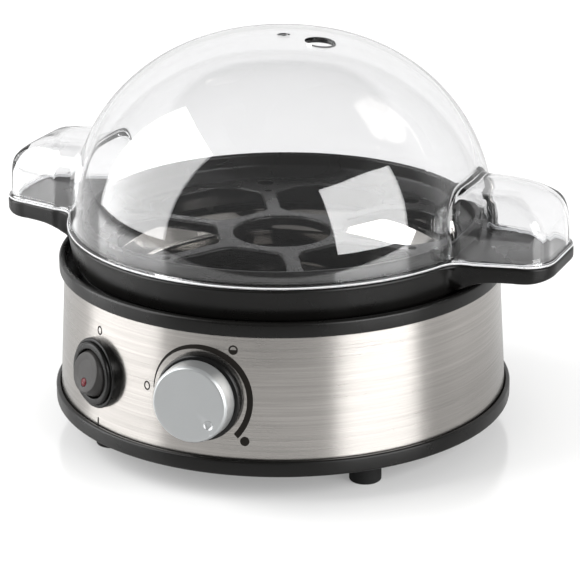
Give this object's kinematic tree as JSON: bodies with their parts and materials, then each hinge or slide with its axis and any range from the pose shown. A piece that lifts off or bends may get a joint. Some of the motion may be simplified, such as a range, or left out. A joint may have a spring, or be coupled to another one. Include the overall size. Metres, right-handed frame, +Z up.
{
  "type": "electric egg cooker",
  "caption": "Round electric egg cooker: steel-banded black base with silver dial and rocker switch, black egg tray with side handles, clear domed lid.",
  "frame": {"origin": "on the floor under the axis of the base, at the middle of the four feet", "axes": "+X to the right along the handles (which sit turned 3.6 degrees), -Y to the front where the dial is, +Z up"},
  "size_m": [0.2384, 0.2017, 0.1598],
  "materials": {
    "black_satin": "satin moulded",
    "black_gloss": "polished",
    "dark_rubber": "matt",
    "brushed_steel": "brushed round the band",
    "satin_silver": "metallised satin",
    "clear_plastic": "clear",
    "coated_plate": "bare spun face",
    "seal_rubber": "silicone",
    "zinc_steel": "zinc plated",
    "element_sheath": "heat tinted",
    "white_plastic": "moulded",
    "brass": "plain",
    "board_green": "solder mask",
    "grey_plastic": "moulded",
    "red_lens": "translucent"
  },
  "bodies": {
    "base": {"foot_back_right": "dark_rubber", "foot_back_left": "dark_rubber", "foot_front_left": "dark_rubber", "foot_front_right": "dark_rubber", "base_pan": "black_satin", "steel_band": "brushed_steel", "upper_rim": "black_satin", "case_screw_1": "zinc_steel", "case_screw_2": "zinc_steel", "case_screw_3": "zinc_steel", "case_screw_4": "zinc_steel", "heating_plate": "coated_plate", "plate_seal": "seal_rubber", "heating_element": "element_sheath", "thermostat": "white_plastic", "thermostat_strap": "zinc_steel", "strap_screw_1": "zinc_steel", "strap_screw_2": "zinc_steel", "thermal_fuse": "brass", "fuse_clip": "zinc_steel", "control_board": "board_green", "board_screw_1": "zinc_steel", "board_screw_2": "zinc_steel", "board_screw_3": "zinc_steel", "board_screw_4": "zinc_steel", "relay": "black_gloss", "film_capacitor": "white_plastic", "buzzer": "black_satin", "terminal_block": "white_plastic", "dial_collar": "black_satin", "regulator": "grey_plastic", "dial_nut": "zinc_steel", "switch_housing": "black_satin", "switch_tag_low": "brass", "switch_tag_middle": "brass", "switch_tag_high": "brass", "cord_gland": "black_satin"},
    "dial": {"dial_cap": "satin_silver", "dial_shaft": "zinc_steel"},
    "rocker": {"switch_rocker": "grey_plastic", "rocker_lens": "red_lens"},
    "tray": {"egg_tray": "black_gloss"},
    "lid": {"lid": "clear_plastic"}
  },
  "joints": [
    {"name": "dial_turn", "type": "hinge", "parent": "base", "child": "dial", "pos_m": [0, -0.08943, 0.0412], "axis": [0, -0.9983, 0.0576], "range_deg": [0, 226]},
    {"name": "rocker_press", "type": "hinge", "parent": "base", "child": "rocker", "pos_m": [-0.04902, -0.07694, 0.0395], "axis": [0.8434, -0.5373, 0], "range_deg": [0, 24]},
    {"name": "tray_lift", "type": "slide", "parent": "base", "child": "tray", "axis": [0, 0, 1], "range_m": [0, 0.09]},
    {"name": "lid_lift", "type": "slide", "parent": "tray", "child": "lid", "axis": [0, 0, 1], "range_m": [0, 0.12]}
  ]
}
